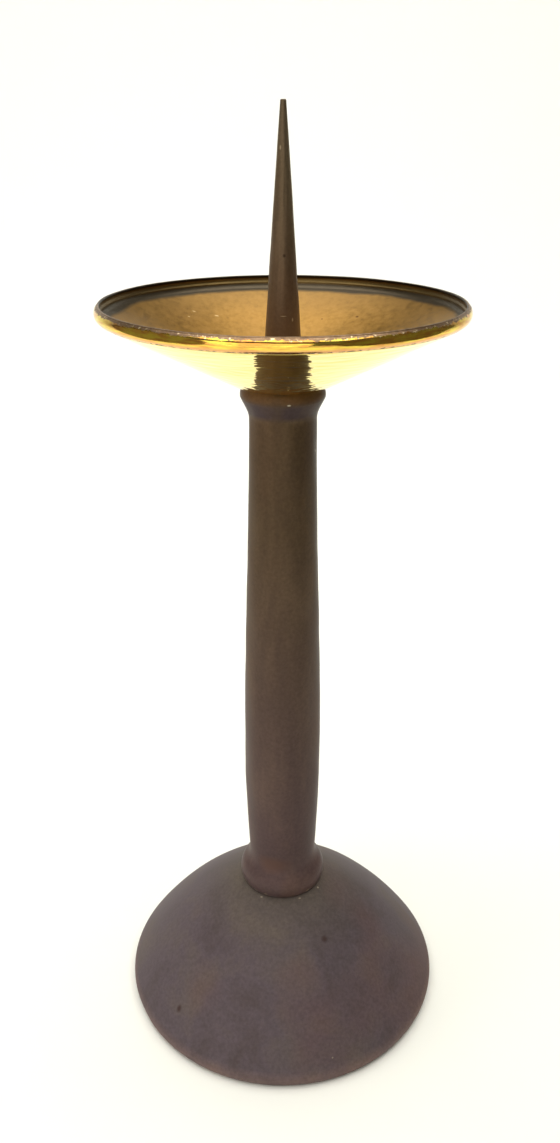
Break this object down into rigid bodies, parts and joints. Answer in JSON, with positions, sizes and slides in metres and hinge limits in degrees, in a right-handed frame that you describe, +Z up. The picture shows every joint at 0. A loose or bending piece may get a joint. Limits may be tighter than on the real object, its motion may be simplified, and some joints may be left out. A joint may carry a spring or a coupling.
{
  "type": "altar candlestick",
  "caption": "Patinated bronze altar candlestick with a hollow domed base, tapered column, wide brass drip pan and a long pricket spike.",
  "frame": {"origin": "on the table surface, at the middle of the base", "axes": "+Z up along the spike; the object is turned about Z, so +X and +Y are any two square directions"},
  "size_m": [0.1798, 0.1798, 0.48],
  "materials": {
    "base_bronze": "matt brown patina",
    "column_bronze": "waxed dark brown patina",
    "pan_brass": "spun and polished, browned at the lip",
    "turned_brass": "turned, unpolished",
    "plated_steel": "zinc plated, dull"
  },
  "bodies": {
    "stand": {"base_dome": "base_bronze", "column": "column_bronze", "top_bush": "turned_brass", "foot_bush": "turned_brass", "tie_rod": "plated_steel", "crown_plate": "plated_steel", "lock_washer": "plated_steel", "hex_nut": "plated_steel", "pricket_spike": "column_bronze"},
    "drip_pan": {"drip_pan": "pan_brass"}
  },
  "joints": [
    {"name": "pan_lift", "type": "slide", "parent": "stand", "child": "drip_pan", "axis": [0, 0, 1], "range_m": [0, 0.12]}
  ]
}
